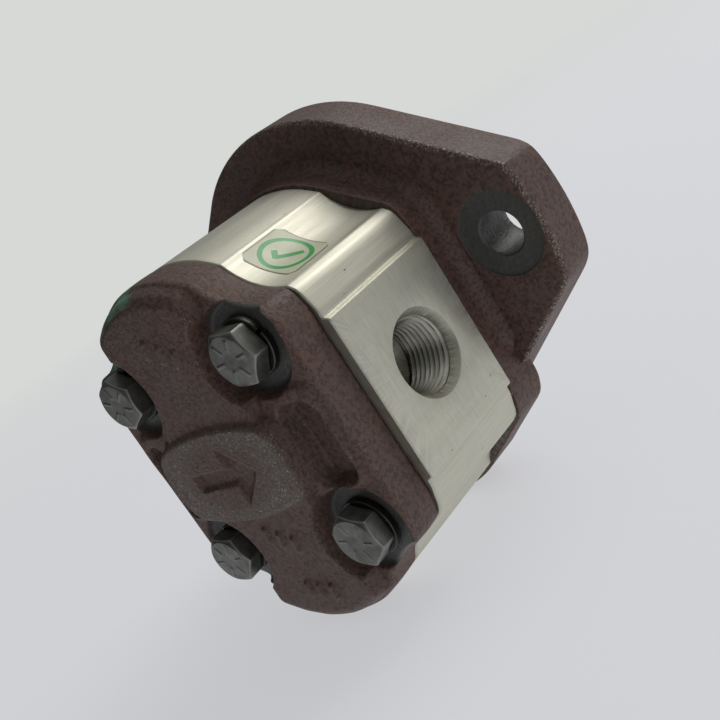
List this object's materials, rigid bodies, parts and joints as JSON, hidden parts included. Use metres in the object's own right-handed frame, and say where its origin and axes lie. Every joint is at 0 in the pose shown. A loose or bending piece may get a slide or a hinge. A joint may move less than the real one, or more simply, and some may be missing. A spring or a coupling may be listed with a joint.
{
  "type": "hydraulic gear pump",
  "caption": "External gear hydraulic pump with a keyed drive shaft, two-bolt mounting flange, ported aluminium body and bolted cast rear cover.",
  "frame": {"origin": "on the drive shaft's axis, in the plane of the flange's mounting face", "axes": "+Y along the drive shaft, out of the mounting face; +Z from the driven gear's axis to the drive gear's; +X out of the delivery port's face"},
  "size_m": [0.1304, 0.1089, 0.1095],
  "materials": {
    "cover_iron": "sand-cast iron under thin brown-red primer, rough and worn pale on its edges",
    "flange_iron": "sand-cast iron under thin brown-red primer, worn pale on its edges, joint and mounting faces machined",
    "body_aluminium": "extruded aluminium with fine draw lines, port faces milled, handling scratches",
    "block_aluminium": "machined aluminium alloy, oily",
    "liner_bronze": "bronze-backed bearing liner, smooth",
    "static_seal_rubber": "black nitrile, satin",
    "shaft_seal_rubber": "black nitrile, satin",
    "dowel_steel": "ground steel",
    "spring_steel": "drawn spring wire",
    "circlip_steel": "phosphated spring steel",
    "bolt_steel": "dark oil-blacked steel, bright on its corners",
    "washer_steel": "dark oil-blacked spring steel",
    "gear_steel": "ground and case-hardened steel, oily",
    "key_steel": "drawn key steel"
  },
  "bodies": {
    "housing": {"rear_cover": "cover_iron", "pump_body": "body_aluminium", "mounting_flange": "flange_iron", "front_bearing_block": "block_aluminium", "rear_bearing_block": "block_aluminium", "front_drive_liner": "liner_bronze", "front_driven_liner": "liner_bronze", "rear_drive_liner": "liner_bronze", "rear_driven_liner": "liner_bronze", "front_pressure_seal": "static_seal_rubber", "rear_pressure_seal": "static_seal_rubber", "front_body_seal": "static_seal_rubber", "rear_body_seal": "static_seal_rubber", "front_left_dowel": "dowel_steel", "front_right_dowel": "dowel_steel", "rear_left_dowel": "dowel_steel", "rear_right_dowel": "dowel_steel", "seal_garter_spring": "spring_steel", "shaft_seal": "shaft_seal_rubber", "seal_circlip": "circlip_steel", "cover_bolt_1": "bolt_steel", "cover_bolt_2": "bolt_steel", "cover_bolt_3": "bolt_steel", "cover_bolt_4": "bolt_steel", "lock_washer_1": "washer_steel", "lock_washer_2": "washer_steel", "lock_washer_3": "washer_steel", "lock_washer_4": "washer_steel"},
    "drive_shaft": {"drive_gear_shaft": "gear_steel", "shaft_key": "key_steel"},
    "driven_shaft": {"driven_gear_shaft": "gear_steel"}
  },
  "joints": [
    {"name": "drive_shaft_turn", "type": "hinge", "parent": "housing", "child": "drive_shaft", "pos_m": [0, 0, 0], "axis": [0, 1, 0], "continuous": true},
    {"name": "driven_shaft_turn", "type": "hinge", "parent": "housing", "child": "driven_shaft", "pos_m": [0, 0, -0.0236], "axis": [0, 1, 0], "continuous": true}
  ],
  "couplings": [
    {"joint": "driven_shaft_turn", "follows": "drive_shaft_turn", "ratio": -1}
  ]
}
